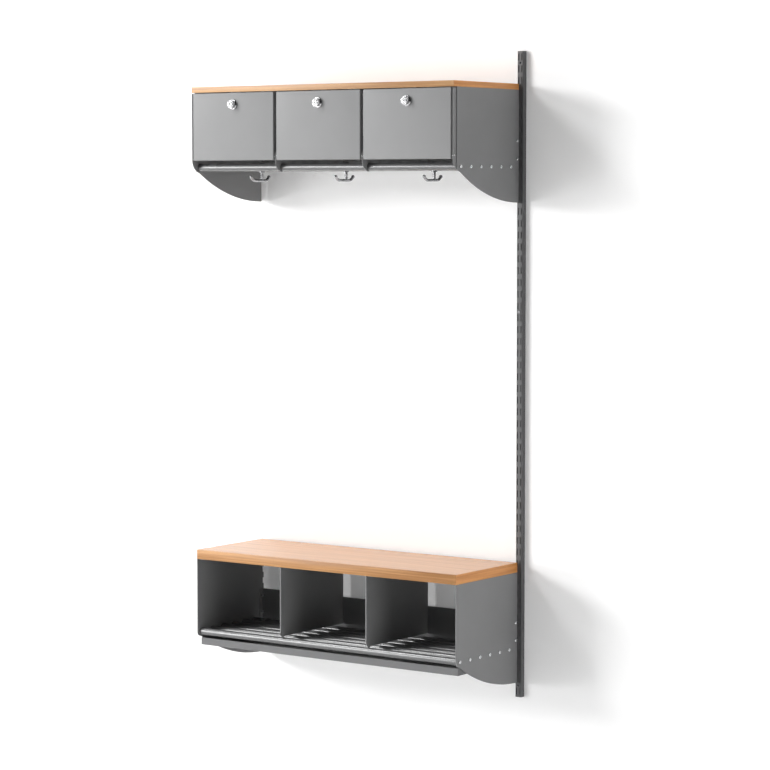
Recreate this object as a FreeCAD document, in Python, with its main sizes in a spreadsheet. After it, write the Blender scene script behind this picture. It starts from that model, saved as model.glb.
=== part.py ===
import FreeCAD, Part
import math
import os
import re
import Sketcher

# One section of a wall-hung cloakroom: a slotted upright, a row of lockers above and a shoe bench below.
# Millimetres. +X runs to the right, +Y into the wall, +Z up.
# The origin is on the wall, at the middle of the upright's foot.

SIZES = {
    # Slotted upright
    "upright_length": 1760,
    "upright_width": 19,
    "upright_depth": 16,
    "upright_wall": 1.5,
    "upright_corner": 2,
    "slot_pitch": 32,
    "slot_length": 19,
    "slot_width": 3,
    "slot_column_gap": 10,
    "slot_first": 16,
    "wall_hole_radius": 2.75,
    "wall_hole_margin": 32,
    "wall_screw_radius": 2.5,
    "wall_screw_head_radius": 4.5,
    "wall_screw_row": 33,

    # Place of the two units: the row of slots that takes the first catch of their brackets,
    # counted down from the top row for the lockers and up from the bottom row for the bench
    "section_pitch": 894,
    "locker_slot": 4,
    "bench_slot": 9,

    # Brackets
    "bracket_depth": 298,
    "bracket_height": 304,
    "bracket_sheet": 2,
    "bracket_corner": 12,
    "chin_margin": 13,
    "chin_length": 19,
    "chin_fall": 3,
    "catch_drop": 49.5,
    "catch_neck": 10,
    "catch_lip": 6,
    "catch_reach": 3,
    "catch_clearance": 0.3,
    "catch_count": 3,
    "flange_width": 20,
    "flange_end_gap": 6,
    "flange_screw_margin": 40,

    # Tubes of the shelves
    "tube_count": 6,
    "tube_radius": 10,
    "tube_wall": 1.5,
    "tube_setback": 17,
    "tube_rear_gap": 41,
    "tube_drop": 208,
    "tube_plug": 15,
    "hook_tube": 2,

    # Boards
    "locker_board_overhang": 14,
    "locker_board_thickness": 16,
    "bench_board_thickness": 27,

    # Back panels
    "panel_drop": 118.5,
    "panel_height": 87.5,
    "panel_sheet": 1.5,
    "panel_flange": 15,
    "panel_gap": 0.5,
    "panel_screw_setback": 8,
    "panel_screw_inset": 19.5,

    # Upright plates between the bays
    "cheek_sheet": 1.5,
    "partition_sheet": 1.5,
    "divider_sheet": 1.5,
    "divider_setback": 2,
    "divider_lift": 3,
    "divider_hem": 12,
    "plate_flange": 15,
    "nose_radius": 32,
    "nose_margin": 2.5,
    "nose_reach": 13,
    "nose_rise": 8,
    "notch_clearance": 0.25,
    "sheet_gap": 0.5,

    # Locker doors and their pivots
    "door_lead": 2,
    "door_depth": 13,
    "door_sheet": 1.5,
    "door_top_gap": 2.2,
    "door_foot_gap": 9.3,
    "door_side_gap": 4,
    "pivot_setback": 8,
    "pivot_rise": 9.7,
    "pin_radius": 2,
    "pin_collar_radius": 4,
    "pin_grip": 3,
    "pin_running": 0.05,
    "pin_play": 0.3,
    "stud_radius": 3,
    "stud_reach": 10,
    "stud_clearance": 0.3,
    "stud_inset": 0.7,

    # Cam locks and their strikes
    "lock_drop": 34.3,
    "rosette_radius": 14.5,
    "rosette_height": 3,
    "rosette_bevel": 1.2,
    "boss_radius": 12,
    "boss_height": 8,
    "boss_taper": 1,
    "barrel_radius": 9.5,
    "barrel_reach": 4,
    "plug_radius": 6.5,
    "plug_head_radius": 8.5,
    "plug_head_height": 1.5,
    "plug_running": 0.05,
    "tail_width": 6,
    "tail_reach": 0.5,
    "keyway_width": 1.4,
    "keyway_height": 8,
    "keyway_depth": 4,
    "nut_radius": 13,
    "nut_height": 4,
    "cam_sheet": 2.5,
    "cam_length": 26,
    "cam_width": 14,
    "cam_gap": 0.2,
    "strike_width": 40,
    "strike_sheet": 1.5,
    "strike_leg": 15,
    "strike_foot": 20,
    "strike_gap": 0.8,
    "strike_screw_spread": 24,

    # Coat hooks
    "hook_drop": 26,
    "hook_stem_radius": 4,
    "hook_flange_radius": 8,
    "hook_flange_height": 3,
    "hook_arm_radius": 3.8,
    "hook_front_run": 28,
    "hook_rear_run": 11,
    "hook_bend": 25,
    "hook_rise": 10,
    "hook_tip_radius": 4.8,
    "bolt_radius": 2.5,
    "bolt_head_radius": 8,
    "bolt_head_height": 4,
    "bolt_grip": 12,

    # Drip tray and its runners
    "tray_setback": 14,
    "tray_rear_gap": 24,
    "tray_height": 20,
    "tray_fall": 7.5,
    "tray_sheet": 1.2,
    "tray_side_gap": 0.5,
    "runner_sheet": 1.2,
    "runner_lip": 8,
    "runner_clearance": 0.3,
    "runner_setback": 68,
    "runner_rear_gap": 20,

    # Fasteners
    "screw_radius": 2.5,
    "screw_head_radius": 4.5,
    "screw_head_height": 3,
    "screw_head_round": 1.2,
    "screw_length": 14,
    "screw_socket_radius": 1.8,
    "screw_socket_depth": 1.5,
    "board_screw_radius": 2,
    "board_screw_head_radius": 3.8,
    "board_screw_head_height": 2.4,
    "board_screw_length": 13,
    "hole_clearance": 0.15,
    "fit_clearance": 0.02,
}

doc = FreeCAD.newDocument("LockerSection")
sheet = doc.addObject("Spreadsheet::Sheet", "Sizes")
for row, (name, number) in enumerate(SIZES.items(), start=1):
    sheet.set(f"A{row}", name)
    sheet.set(f"B{row}", str(number))
    sheet.setAlias(f"B{row}", name)
doc.recompute()


# Reading and binding the sizes

def formula(text):
    """The text with every size name pointed at its cell."""
    def cell(word):
        return f"Sizes.{word[0]}" if word[0] in SIZES else word[0]
    return re.sub(r"[a-z_]+", cell, text)


def value(text):
    return float(sheet.evalExpression(formula(text)))


def bind(thing, name, text):
    thing.setExpression(name, formula(text))


# Places that several pieces share. Across is measured from the middle of the section,
# depth from the front of the upright, and height from the underside of the unit's board.

LEFT_SIDE = -1
RIGHT_SIDE = 1
HALF_SPAN = "((section_pitch - slot_column_gap) / 2)"
OUTER = f"({HALF_SPAN} + bracket_sheet / 2)"
INNER = f"({HALF_SPAN} - bracket_sheet / 2)"
TOP_SLOT = "floor((upright_length - slot_first - slot_length / 2) / slot_pitch)"
CATCH_LEVEL = "(slot_first - slot_length / 2 + catch_drop)"
LOCKER = f"({CATCH_LEVEL} + ({TOP_SLOT} - locker_slot) * slot_pitch)"
BENCH = f"({CATCH_LEVEL} + bench_slot * slot_pitch)"

CHIN = "(-tube_drop - chin_margin)"
PANEL_LOW = "(-panel_drop - panel_height)"
PANEL_SCREW_HEIGHTS = ["(-panel_drop - panel_screw_inset)", f"({PANEL_LOW} + panel_screw_inset)"]
FLANGE_ROWS = ["(-flange_screw_margin)", "(-bracket_depth / 2)", "(flange_screw_margin - bracket_depth)"]
PLATE_ROWS = [FLANGE_ROWS[0], FLANGE_ROWS[2]]
PLATE_REAR = "(-panel_gap - panel_sheet - sheet_gap)"
NOTCH = "(tube_radius + notch_clearance)"
TUBE_PITCH = "((bracket_depth - tube_setback - tube_rear_gap) / (tube_count - 1))"
BOARD_SCREW_HOLE = "(board_screw_radius + hole_clearance)"


def tube_depth(number):
    return f"(tube_setback - bracket_depth + {number} * {TUBE_PITCH})"


FRONT_TUBE = tube_depth(0)
NOSE_FRONT = f"({FRONT_TUBE} - nose_radius)"
NOSE_LOW = "(-tube_drop - tube_radius - nose_margin)"

CHEEK_FACE = f"({INNER} - cheek_sheet)"
PARTITION = f"(({CHEEK_FACE} + partition_sheet / 2) / 3)"
DIVIDER = f"(({INNER} + divider_sheet / 2) / 3)"
BAY_WIDTH = f"({CHEEK_FACE} - {PARTITION} - partition_sheet / 2)"
BAY_PITCH = f"(({CHEEK_FACE} + {PARTITION} + partition_sheet / 2) / 2)"
BAYS = {"left": f"(-{BAY_PITCH})", "centre": "0", "right": BAY_PITCH}

DOOR_FRONT = f"({NOSE_FRONT} - door_lead)"
DOOR_BACK = f"({DOOR_FRONT} + door_depth)"
DOOR_HALF = f"({BAY_WIDTH} / 2 - door_side_gap)"
DOOR_HIGH = "(-door_top_gap)"
DOOR_LOW = "(-tube_drop + tube_radius + door_foot_gap)"
PIVOT_DEPTH = f"({DOOR_FRONT} + pivot_setback)"
PIVOT_HEIGHT = f"({DOOR_LOW} + pivot_rise)"
PLATE_FRONT = f"({NOSE_FRONT} + nose_reach)"
NOSE_HIGH = f"({PIVOT_HEIGHT} + nose_rise)"
STUD_DEPTH = f"({PIVOT_DEPTH} + pivot_rise + stud_clearance + stud_radius)"
STUD_HEIGHT = f"({PIVOT_HEIGHT} - pivot_setback + stud_inset)"

BARREL_END = f"({DOOR_BACK} + barrel_reach)"
BOSS_FRONT = f"({DOOR_FRONT} - rosette_height - boss_height)"
CAM_FRONT = f"({BARREL_END} + cam_gap)"
STRIKE_FRONT = f"({DOOR_BACK} + strike_gap)"
STRIKE_ROW = f"({STRIKE_FRONT} + strike_sheet + strike_foot / 2)"

TRAY_HIGH = "(-tube_drop - tube_radius - tray_fall)"
TRAY_LOW = f"({TRAY_HIGH} - tray_height)"
TRAY_HALF = f"({INNER} - runner_sheet - tray_side_gap)"


# Building blocks

TURN_LEFT = 1
TURN_RIGHT = -1
sub_parts = []


def keep(thing, label):
    thing.Label = label
    sub_parts.append(thing)
    return thing


def place(thing, height, across="0", depth="0", up="0"):
    bind(thing, "Placement.Base.x", f"-section_pitch / 2 + {across}")
    bind(thing, "Placement.Base.y", f"-upright_depth + {depth}")
    bind(thing, "Placement.Base.z", f"{height} + {up}")


def new_body(label):
    return keep(doc.addObject("PartDesign::Body", label), label)


def sketch_on(body, name, role, offset="0"):
    """A sketch parallel to one of the body's origin planes, moved by the offset along the plane's normal."""
    sketch = body.newObject("Sketcher::SketchObject", name)
    plane = next(feature for feature in body.Origin.OriginFeatures if feature.Role == role)
    sketch.AttachmentSupport = (plane, [""])
    sketch.MapMode = "FlatFace"
    bind(sketch, "AttachmentOffset.Base.z", offset)
    return sketch


def arc_between(start, finish, radius, turn):
    """The arc of up to a half circle from start to finish, and which of its ends is the start."""
    chord = finish - start
    rise = math.sqrt(max(radius ** 2 - (chord.Length / 2) ** 2, 0))
    sideways = FreeCAD.Vector(-chord.y, chord.x, 0).normalize() * turn
    centre = (start + finish) * 0.5 + sideways * rise
    angles = [math.atan2(end.y - centre.y, end.x - centre.x) for end in (start, finish)]
    circle = Part.Circle(centre, FreeCAD.Vector(0, 0, 1), radius)
    if turn == TURN_LEFT:
        return Part.ArcOfCircle(circle, angles[0], angles[1]), (1, 2)
    return Part.ArcOfCircle(circle, angles[1], angles[0]), (2, 1)


def constrain(sketch, pairs):
    """Adds constraints and binds those that come with a text."""
    indices = sketch.addConstraint([constraint for constraint, text in pairs])
    for index, (constraint, text) in zip(indices, pairs):
        if text:
            bind(sketch, f"Constraints[{index}]", text)


def point_pairs(geometry, point, across, up):
    return [
        (Sketcher.Constraint("DistanceX", -1, 1, geometry, point, value(across)), across),
        (Sketcher.Constraint("DistanceY", -1, 1, geometry, point, value(up)), up),
    ]


def outline(sketch, corners):
    """A closed outline. A corner is (across, up), and one with (radius, turn) as well starts an arc."""
    points = [FreeCAD.Vector(value(corner[0]), value(corner[1]), 0) for corner in corners]
    sides = []
    for number, corner in enumerate(corners):
        finish = points[(number + 1) % len(points)]
        if len(corner) == 2:
            curve = Part.LineSegment(points[number], finish)
            ends = (1, 2)
        else:
            curve, ends = arc_between(points[number], finish, value(corner[2]), corner[3])
        sides.append((sketch.addGeometry(curve), ends))
    pairs = []
    for number, corner in enumerate(corners):
        side, ends = sides[number]
        following, following_ends = sides[(number + 1) % len(sides)]
        pairs.append((Sketcher.Constraint("Coincident", side, ends[1], following, following_ends[0]), None))
        pairs += point_pairs(side, ends[0], corner[0], corner[1])
        if len(corner) > 2:
            pairs.append((Sketcher.Constraint("Radius", side, value(corner[2])), corner[2]))
    constrain(sketch, pairs)


def rectangle(sketch, near, far, low, high):
    outline(sketch, [(near, low), (far, low), (far, high), (near, high)])


def round_hole(sketch, across, up, radius):
    centre = FreeCAD.Vector(value(across), value(up), 0)
    circle = sketch.addGeometry(Part.Circle(centre, FreeCAD.Vector(0, 0, 1), value(radius)))
    constrain(sketch, point_pairs(circle, 3, across, up) + [
        (Sketcher.Constraint("Radius", circle, value(radius)), radius),
    ])


def pad(body, sketch, length):
    feature = body.newObject("PartDesign::Pad", "Pad")
    feature.Profile = sketch
    bind(feature, "Length", length)
    return feature


def pocket(body, sketch, length=None, along_normal=False):
    """Cuts against the sketch's normal, or along it; without a length it cuts right through."""
    feature = body.newObject("PartDesign::Pocket", "Pocket")
    feature.Profile = sketch
    feature.Reversed = along_normal
    if length:
        bind(feature, "Length", length)
    else:
        feature.Type = "ThroughAll"
    return feature


def turned(body, sketch):
    """A solid of revolution about the sketch's own horizontal axis."""
    feature = body.newObject("PartDesign::Revolution", "Turned")
    feature.Profile = sketch
    feature.ReferenceAxis = (sketch, ["H_Axis"])
    feature.Angle = 360
    return feature


def primitive(kind, **texts):
    """A primitive with its sizes bound, from keywords such as Radius or Placement_Base_z."""
    thing = doc.addObject(kind, kind.split("::")[1])
    for name, text in texts.items():
        bind(thing, name.replace("_", "."), text)
    return thing


def fused(*shapes):
    thing = doc.addObject("Part::MultiFuse", "Fused")
    thing.Shapes = list(shapes)
    thing.Refine = True
    return thing


def cut(base, tool):
    thing = doc.addObject("Part::Cut", "Cut")
    thing.Base = base
    thing.Tool = tool
    return thing


def rod(radius, start, finish):
    axis = finish - start
    return Part.makeCylinder(value(radius), axis.Length, start, axis)


def spot(across, depth, up):
    return FreeCAD.Vector(value(across), value(depth), value(up))


def screw(seat, drive, family):
    """A pan-head screw: the head's seat, the unit vector it is driven along and its family of sizes."""
    head_height = value(f"{family}_head_height")
    head = rod(f"{family}_head_radius", seat, seat - drive * head_height)
    rim = [edge for edge in head.Edges if abs((edge.CenterOfMass - seat).dot(drive) + head_height) < 1e-6]
    head = head.makeFillet(value("screw_head_round"), [edge for edge in rim if edge.Closed])
    shank = rod(f"{family}_radius", seat, seat + drive * value(f"{family}_length"))
    top = seat - drive * head_height
    socket = rod("screw_socket_radius", top, top + drive * value("screw_socket_depth"))
    return head.fuse(shank).cut(socket).removeSplitter()


def group(label, height, solids):
    """Like pieces of one kind, each a solid of its own, in one sub-part."""
    thing = keep(doc.addObject("Part::Feature", label), label)
    thing.Shape = Part.makeCompound(solids)
    place(thing, height)


# Slotted upright, held by a screw between two rows of its slots

WALL_SCREW_HEIGHT = "(slot_first + (wall_screw_row - 0.5) * slot_pitch)"


def upright_outline(sketch):
    near = "(-upright_width / 2)"
    far = "(upright_width / 2)"
    front = "(-upright_depth)"
    arc = ("upright_corner", TURN_LEFT)
    outline(sketch, [
        (f"{near} + upright_corner", front),
        (f"{far} - upright_corner", front, *arc),
        (far, f"{front} + upright_corner"),
        (far, "0"),
        (near, "0"),
        (near, f"{front} + upright_corner", *arc),
    ])
    rectangle(sketch, f"{near} + upright_wall", f"{far} - upright_wall",
              f"{front} + upright_wall", "-upright_wall")


def wall_upright():
    body = new_body("wall_upright")
    section = sketch_on(body, "Section", "XY_Plane")
    upright_outline(section)
    pad(body, section, "upright_length")

    slots = sketch_on(body, "Slots", "XZ_Plane", "upright_depth")
    for column in ("(-slot_column_gap / 2)", "(slot_column_gap / 2)"):
        low = "(slot_first - slot_length / 2)"
        high = "(slot_first + slot_length / 2)"
        rectangle(slots, f"{column} - slot_width / 2", f"{column} + slot_width / 2", low, high)
    first_slots = pocket(body, slots, "2 * upright_wall")
    rows = body.newObject("PartDesign::LinearPattern", "SlotRows")
    rows.Originals = [first_slots]
    rows.Direction = (slots, ["V_Axis"])
    bind(rows, "Occurrences", f"{TOP_SLOT} + 1")
    bind(rows, "Length", f"{TOP_SLOT} * slot_pitch")
    body.Tip = rows

    holes = sketch_on(body, "WallHoles", "XZ_Plane", "upright_depth")
    for height in ("wall_hole_margin", WALL_SCREW_HEIGHT, "upright_length - wall_hole_margin"):
        round_hole(holes, "0", height, "wall_hole_radius")
    pocket(body, holes)


def wall_screw():
    """The screw that holds the upright, drawn as far as the wall."""
    body = new_body("wall_screw")
    profile = sketch_on(body, "Profile", "YZ_Plane")
    seat = "(-upright_depth)"
    top = f"({seat} - screw_head_height)"
    outline(profile, [
        (f"{top} + screw_socket_depth", "0"),
        (f"{top} + screw_socket_depth", "screw_socket_radius"),
        (top, "screw_socket_radius"),
        (top, "wall_screw_head_radius - screw_head_round"),
        (f"{top} + screw_head_round", "wall_screw_head_radius"),
        (seat, "wall_screw_head_radius"),
        (seat, "wall_screw_radius"),
        ("0", "wall_screw_radius"),
        ("0", "0"),
    ])
    turned(body, profile)
    bind(body, "Placement.Base.z", WALL_SCREW_HEIGHT)


# Brackets: a flat blade with catches for the slots, a flange under the board and screw holes

def catch_corners():
    throat = "(upright_wall + catch_clearance)"
    tip = f"({throat} + catch_reach)"
    corners = []
    for number in reversed(range(int(value("catch_count")))):
        seat = f"(-catch_drop - {number} * slot_pitch)"
        corners += [
            ("0", seat),
            (throat, seat),
            (throat, f"{seat} - catch_lip"),
            (tip, f"{seat} - catch_lip"),
            (tip, f"{seat} + catch_neck"),
            ("0", f"{seat} + catch_neck"),
        ]
    return corners


def bracket(label, height, side):
    belly_run = "(bracket_depth - chin_length)"
    belly_fall = f"(bracket_height + {CHIN} - chin_fall)"
    belly_radius = f"(({belly_run} ^ 2 + {belly_fall} ^ 2) / (2 * {belly_fall}))"
    body = new_body(label)
    blade = sketch_on(body, "Blade", "YZ_Plane", f"{side} * {HALF_SPAN} - bracket_sheet / 2")
    outline(blade, [
        ("0", "0"),
        ("-bracket_depth", "0"),
        ("-bracket_depth", f"{CHIN} + bracket_corner", "bracket_corner", TURN_LEFT),
        ("bracket_corner - bracket_depth", CHIN),
        (f"-{belly_run}", f"{CHIN} - chin_fall", belly_radius, TURN_LEFT),
        ("0", "-bracket_height"),
    ] + catch_corners())
    for number in range(int(value("tube_count"))):
        round_hole(blade, tube_depth(number), "-tube_drop", "screw_radius + hole_clearance")
    for level in PANEL_SCREW_HEIGHTS:
        round_hole(blade, "-panel_screw_setback", level, "screw_radius + hole_clearance")
    pad(body, blade, "bracket_sheet")

    flange = sketch_on(body, "Flange", "XY_Plane", "-bracket_sheet")
    rectangle(flange, f"{side} * {HALF_SPAN}", f"{side} * ({INNER} - flange_width)",
              "flange_end_gap - bracket_depth", "-flange_end_gap")
    for row in FLANGE_ROWS:
        round_hole(flange, f"{side} * ({INNER} - flange_width / 2)", row, BOARD_SCREW_HOLE)
    pad(body, flange, "bracket_sheet")
    place(body, height)


# Tubes with threaded plugs in their ends

def tube(label, height, number, half_length):
    body = primitive("Part::Cylinder", Radius="tube_radius", Height=f"2 * {half_length}")
    cavity = primitive("Part::Cylinder", Radius="tube_radius - tube_wall",
                       Height=f"2 * {half_length} - 2 * tube_plug", Placement_Base_z="tube_plug")
    thread = primitive("Part::Cylinder", Radius="screw_radius + fit_clearance", Height=f"2 * {half_length}")
    hollows = [cavity, thread]
    if height == LOCKER and number == int(value("hook_tube")):
        for bay in BAYS.values():
            hole = primitive("Part::Cylinder", Radius="bolt_radius + hole_clearance",
                             Height="4 * tube_radius", Placement_Base_x="-2 * tube_radius",
                             Placement_Base_z=f"{half_length} + {bay}")
            hole.Placement.Rotation = FreeCAD.Rotation(FreeCAD.Vector(0, 1, 0), 90)
            hollows.append(hole)
    thing = keep(cut(body, fused(*hollows)), label)
    thing.Placement.Rotation = FreeCAD.Rotation(FreeCAD.Vector(0, 1, 0), 90)
    place(thing, height, f"-{half_length}", tube_depth(number), "-tube_drop")


def tubes(unit, height, half_length):
    for number in range(int(value("tube_count"))):
        tube(f"{unit}_tube_{number + 1}", height, number, half_length)


def bracket_screws(unit, height):
    """The screws through both brackets into the tubes and into the back panel's flanges."""
    solids = []
    for side in (LEFT_SIDE, RIGHT_SIDE):
        drive = FreeCAD.Vector(-side, 0, 0)
        face = f"{side} * {OUTER}"
        for number in range(int(value("tube_count"))):
            solids.append(screw(spot(face, tube_depth(number), "-tube_drop"), drive, "screw"))
        for level in PANEL_SCREW_HEIGHTS:
            solids.append(screw(spot(face, "-panel_screw_setback", level), drive, "screw"))
    group(f"{unit}_bracket_screws", height, solids)


# Low back panels, folded forward at both ends

def back_panel(unit, height):
    body = new_body(f"{unit}_back_panel")
    face = sketch_on(body, "Face", "XZ_Plane", "panel_gap")
    rectangle(face, f"-{INNER}", INNER, PANEL_LOW, "-panel_drop")
    pad(body, face, "panel_sheet")
    ends = sketch_on(body, "Ends", "XZ_Plane", "panel_gap")
    for side in (LEFT_SIDE, RIGHT_SIDE):
        rectangle(ends, f"{side} * ({INNER} - panel_sheet)", f"{side} * {INNER}", PANEL_LOW, "-panel_drop")
    pad(body, ends, "panel_flange")
    holes = sketch_on(body, "Threads", "YZ_Plane", INNER)
    for level in PANEL_SCREW_HEIGHTS:
        round_hole(holes, "-panel_screw_setback", level, "screw_radius + fit_clearance")
    pocket(body, holes)
    place(body, height)


# Boards, with pilot holes for the screws that come up from below

def bracket_spots():
    return [(f"{side} * ({INNER} - flange_width / 2)", row, "bracket_sheet")
            for side in (LEFT_SIDE, RIGHT_SIDE) for row in FLANGE_ROWS]


def plate_spots(plate, sheet_name):
    return [(f"{side} * ({plate} + plate_flange / 2)", row, sheet_name)
            for side in (LEFT_SIDE, RIGHT_SIDE) for row in PLATE_ROWS]


def strike_spots():
    return [(f"{bay} + {hand} * strike_screw_spread / 2", STRIKE_ROW, "strike_sheet")
            for bay in BAYS.values() for hand in (LEFT_SIDE, RIGHT_SIDE)]


LOCKER_BOARD_SPOTS = bracket_spots() + plate_spots(PARTITION, "partition_sheet") + strike_spots()
BENCH_BOARD_SPOTS = bracket_spots() + plate_spots(DIVIDER, "divider_sheet")


def board(unit, height, depth, thickness, spots):
    body = new_body(f"{unit}_board")
    plan = sketch_on(body, "Plan", "XY_Plane")
    rectangle(plan, f"-{OUTER}", OUTER, f"-{depth}", "0")
    pad(body, plan, thickness)
    pilots = sketch_on(body, "Pilots", "XY_Plane")
    for across, row, sheet_name in spots:
        round_hole(pilots, across, row, "board_screw_radius + fit_clearance")
    pocket(body, pilots, "board_screw_length", along_normal=True)
    place(body, height)


def board_screws(unit, height, spots):
    up = FreeCAD.Vector(0, 0, 1)
    solids = [screw(spot(across, row, f"-{sheet_name}"), up, "board_screw")
              for across, row, sheet_name in spots]
    group(f"{unit}_board_screws", height, solids)


# Upright plates: two cheeks at the ends of the lockers, partitions between them, dividers in the bench

def pivot_holes(sketch):
    round_hole(sketch, PIVOT_DEPTH, PIVOT_HEIGHT, "pin_radius + fit_clearance")
    round_hole(sketch, STUD_DEPTH, STUD_HEIGHT, "stud_radius + fit_clearance")


def locker_cheek(label, side):
    rear = "(-panel_gap - panel_flange - sheet_gap)"
    top = "(-bracket_sheet - sheet_gap)"
    body = new_body(label)
    plate = sketch_on(body, "Plate", "YZ_Plane", f"{side} * ({INNER} - cheek_sheet / 2) - cheek_sheet / 2")
    outline(plate, [
        (rear, top),
        (NOSE_FRONT, top),
        (NOSE_FRONT, f"{NOSE_LOW} + nose_radius", "nose_radius", TURN_LEFT),
        (FRONT_TUBE, NOSE_LOW),
        (rear, NOSE_LOW),
    ])
    for number in range(int(value("tube_count"))):
        round_hole(plate, tube_depth(number), "-tube_drop", "screw_radius + hole_clearance")
    pivot_holes(plate)
    pad(body, plate, "cheek_sheet")
    place(body, LOCKER)


def notch_corners():
    """The lower edge behind the front tube, which sits over the other tubes, and the rear corner."""
    corners = [(f"{FRONT_TUBE} + {NOTCH}", "-tube_drop")]
    for number in range(1, int(value("tube_count"))):
        middle = tube_depth(number)
        corners += [
            (f"{middle} - {NOTCH}", "-tube_drop", NOTCH, TURN_RIGHT),
            (middle, f"{NOTCH} - tube_drop", NOTCH, TURN_RIGHT),
            (f"{middle} + {NOTCH}", "-tube_drop"),
        ]
    return corners + [(PLATE_REAR, "-tube_drop")]


def plate_flange(body, plate, sheet_name, side):
    """The fold under the board, on the plate's outer side."""
    flange = sketch_on(body, "Flange", "XY_Plane", f"-{sheet_name}")
    rectangle(flange, f"{side} * {plate}", f"{side} * ({plate} + plate_flange)",
              "flange_end_gap - bracket_depth", "-flange_end_gap")
    for row in PLATE_ROWS:
        round_hole(flange, f"{side} * ({plate} + plate_flange / 2)", row, BOARD_SCREW_HOLE)
    pad(body, flange, sheet_name)


def locker_partition(label, side):
    """A partition set back behind the doors, with a nose between them that curls under the front tube."""
    body = new_body(label)
    plate = sketch_on(body, "Plate", "YZ_Plane", f"{side} * {PARTITION} - partition_sheet / 2")
    outline(plate, [
        (PLATE_REAR, "0"),
        (PLATE_FRONT, "0"),
        (PLATE_FRONT, f"{NOSE_HIGH} + nose_reach"),
        (NOSE_FRONT, NOSE_HIGH),
        (NOSE_FRONT, f"{NOSE_LOW} + nose_radius", "nose_radius", TURN_LEFT),
        (FRONT_TUBE, NOSE_LOW),
        (FRONT_TUBE, f"-tube_drop - {NOTCH}", NOTCH, TURN_RIGHT),
        (f"{FRONT_TUBE} - {NOTCH}", "-tube_drop", NOTCH, TURN_RIGHT),
        (FRONT_TUBE, f"{NOTCH} - tube_drop", NOTCH, TURN_RIGHT),
    ] + notch_corners())
    pivot_holes(plate)
    pad(body, plate, "partition_sheet")
    plate_flange(body, PARTITION, "partition_sheet", side)
    place(body, LOCKER)


def bench_divider(label, side):
    """A divider with a hemmed front, its rounded corner on the front tube, clear of the tubes behind."""
    front = "(divider_setback - bracket_depth)"
    rounding = "(tube_setback - divider_setback)"
    foot = f"({NOTCH} - tube_drop)"
    body = new_body(label)
    left_face = f"({side} * {DIVIDER} - divider_sheet / 2)"
    plate = sketch_on(body, "Plate", "YZ_Plane", left_face)
    outline(plate, [
        (PLATE_REAR, "0"),
        (front, "0"),
        (front, f"{foot} + {rounding}", rounding, TURN_LEFT),
        (FRONT_TUBE, foot),
        (f"{FRONT_TUBE} + divider_lift", f"{foot} + divider_lift"),
        (PLATE_REAR, f"{foot} + divider_lift"),
    ])
    pad(body, plate, "divider_sheet")
    hem = sketch_on(body, "Hem", "YZ_Plane", f"{left_face} - {side} * divider_sheet")
    rectangle(hem, front, f"{front} + divider_hem", f"{foot} + {rounding}", "-divider_sheet - sheet_gap")
    pad(body, hem, "divider_sheet")
    plate_flange(body, DIVIDER, "divider_sheet", side)
    place(body, BENCH)


# Pivot pins with collars, and the studs that stop the open doors

def plate_faces():
    """Each plate beside a door: its left face, its right face and the hands that doors lie on."""
    cheek_outer = value(INNER)
    cheek_inner = value(CHEEK_FACE)
    middle = value(PARTITION)
    half = value("partition_sheet") / 2
    return [
        (-cheek_outer, -cheek_inner, [RIGHT_SIDE]),
        (-middle - half, -middle + half, [LEFT_SIDE, RIGHT_SIDE]),
        (middle - half, middle + half, [LEFT_SIDE, RIGHT_SIDE]),
        (cheek_inner, cheek_outer, [LEFT_SIDE]),
    ]


def plate_rods(radius, reach, depth, height):
    """Rods through the plates that stand out by the reach on each side where a door lies."""
    rods = []
    for left, right, hands in plate_faces():
        start = left - reach if LEFT_SIDE in hands else left
        finish = right + reach if RIGHT_SIDE in hands else right
        rods.append(rod(radius, FreeCAD.Vector(start, depth, height), FreeCAD.Vector(finish, depth, height)))
    return rods


def door_pivot_pins():
    depth = value(PIVOT_DEPTH)
    height = value(PIVOT_HEIGHT)
    cores = plate_rods("pin_radius", value("door_side_gap + door_sheet + pin_grip"), depth, height)
    pins = []
    for core, (left, right, hands) in zip(cores, plate_faces()):
        for hand in hands:
            face = left if hand == LEFT_SIDE else right
            start = FreeCAD.Vector(face, depth, height)
            finish = start + FreeCAD.Vector(hand * value("door_side_gap - pin_play"), 0, 0)
            core = core.fuse(rod("pin_collar_radius", start, finish))
        pins.append(core.removeSplitter())
    group("door_pivot_pins", LOCKER, pins)


def door_stop_studs():
    group("door_stop_studs", LOCKER,
          plate_rods("stud_radius", value("stud_reach"), value(STUD_DEPTH), value(STUD_HEIGHT)))


# Drop-front doors: shallow pans that turn on the pins near their lower edge

def locker_door(hand, bay):
    body = new_body(f"locker_door_{hand}")
    pan = sketch_on(body, "Pan", "XZ_Plane", f"-{DOOR_BACK}")
    rectangle(pan, f"-{DOOR_HALF}", DOOR_HALF, DOOR_LOW, DOOR_HIGH)
    pad(body, pan, "door_depth")
    hollow = sketch_on(body, "Hollow", "XZ_Plane", f"-{DOOR_BACK}")
    rectangle(hollow, f"door_sheet - {DOOR_HALF}", f"{DOOR_HALF} - door_sheet",
              f"{DOOR_LOW} + door_sheet", f"{DOOR_HIGH} - door_sheet")
    pocket(body, hollow, "door_depth - door_sheet", along_normal=True)
    lock_hole = sketch_on(body, "LockHole", "XZ_Plane", f"-{DOOR_BACK}")
    round_hole(lock_hole, "0", "-lock_drop", "barrel_radius + fit_clearance")
    pocket(body, lock_hole, along_normal=True)
    pin_holes = sketch_on(body, "PinHoles", "YZ_Plane", DOOR_HALF)
    round_hole(pin_holes, PIVOT_DEPTH, PIVOT_HEIGHT, "pin_radius + pin_running")
    pocket(body, pin_holes)
    place(body, LOCKER, bay)


# Cam locks: a housing held by a nut, a plug that turns in it and a cam on the plug's square tail

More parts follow.
